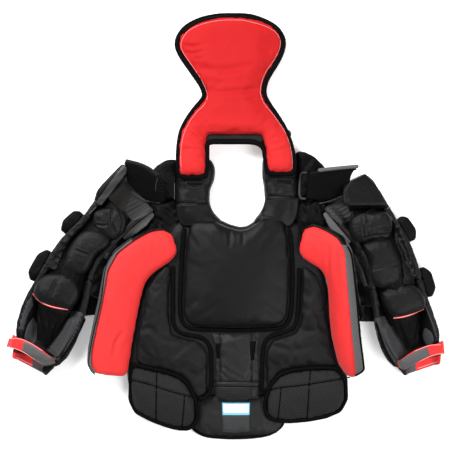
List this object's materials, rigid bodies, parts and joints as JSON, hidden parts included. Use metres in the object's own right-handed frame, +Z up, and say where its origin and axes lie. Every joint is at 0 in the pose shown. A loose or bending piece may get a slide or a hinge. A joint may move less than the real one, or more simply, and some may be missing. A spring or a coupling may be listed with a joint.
{
  "type": "goalie chest and arm protector",
  "caption": "Goalie chest and arm protector lying on its outer face: padded black inside up, red rib wings, bound hip flaps, hollow arms and a red back flap above the neck opening.",
  "frame": {"origin": "on the torso's flat outer face, under the middle of the chest, on the surface it lies on", "axes": "+X to the wearer's right, +Y from the waist to the neck, +Z up from the surface"},
  "size_m": [0.9552, 0.9308, 0.1179],
  "materials": {
    "shell_fabric": "matte",
    "lining_fabric": "matte",
    "knit_fabric": "matte",
    "grey_fabric": "matte",
    "red_fabric": "matte",
    "tag_fabric": "satin"
  },
  "bodies": {
    "root": {"torso_panel": "shell_fabric", "chest_pad": "lining_fabric", "chest_binding": "shell_fabric", "belly_center": "lining_fabric", "side_panel_left": "lining_fabric", "side_panel_right": "lining_fabric", "panel_binding_left": "shell_fabric", "panel_binding_right": "shell_fabric", "hip_flap_left": "knit_fabric", "hip_flap_right": "knit_fabric", "hip_binding_left": "shell_fabric", "hip_binding_right": "shell_fabric", "tail_flap": "shell_fabric", "label": "tag_fabric", "wing_left": "red_fabric", "wing_right": "red_fabric", "wing_gusset_left": "grey_fabric", "wing_gusset_right": "grey_fabric", "back_flap": "red_fabric", "flap_binding": "shell_fabric", "collar_band": "knit_fabric", "yoke_left": "shell_fabric", "yoke_right": "shell_fabric", "shoulder_panel_left": "shell_fabric", "shoulder_panel_right": "shell_fabric", "underarm_left": "shell_fabric", "underarm_right": "shell_fabric", "upper_arm_shell_left": "shell_fabric", "upper_arm_shell_right": "shell_fabric", "forearm_shell_left": "shell_fabric", "forearm_shell_right": "shell_fabric", "shoulder_cap_left": "shell_fabric", "shoulder_cap_right": "shell_fabric", "bicep_plate_left": "shell_fabric", "bicep_plate_right": "shell_fabric", "armpit_flap_left": "grey_fabric", "armpit_flap_right": "grey_fabric", "sleeve_left": "shell_fabric", "sleeve_right": "shell_fabric", "bicep_pad_left": "shell_fabric", "bicep_pad_right": "shell_fabric", "elbow_pad_left": "shell_fabric", "elbow_pad_right": "shell_fabric", "forearm_pad_left": "shell_fabric", "forearm_pad_right": "shell_fabric", "forearm_panel_left": "knit_fabric", "forearm_panel_right": "knit_fabric", "elbow_tab_upper_left": "shell_fabric", "elbow_tab_upper_right": "shell_fabric", "elbow_tab_lower_left": "shell_fabric", "elbow_tab_lower_right": "shell_fabric", "elbow_guard_left": "shell_fabric", "elbow_guard_right": "shell_fabric", "wrist_strap_left": "red_fabric", "wrist_strap_right": "red_fabric", "strap_tab_left": "grey_fabric", "strap_tab_right": "grey_fabric", "cuff_left": "red_fabric", "cuff_right": "red_fabric"}
  },
  "joints": []
}
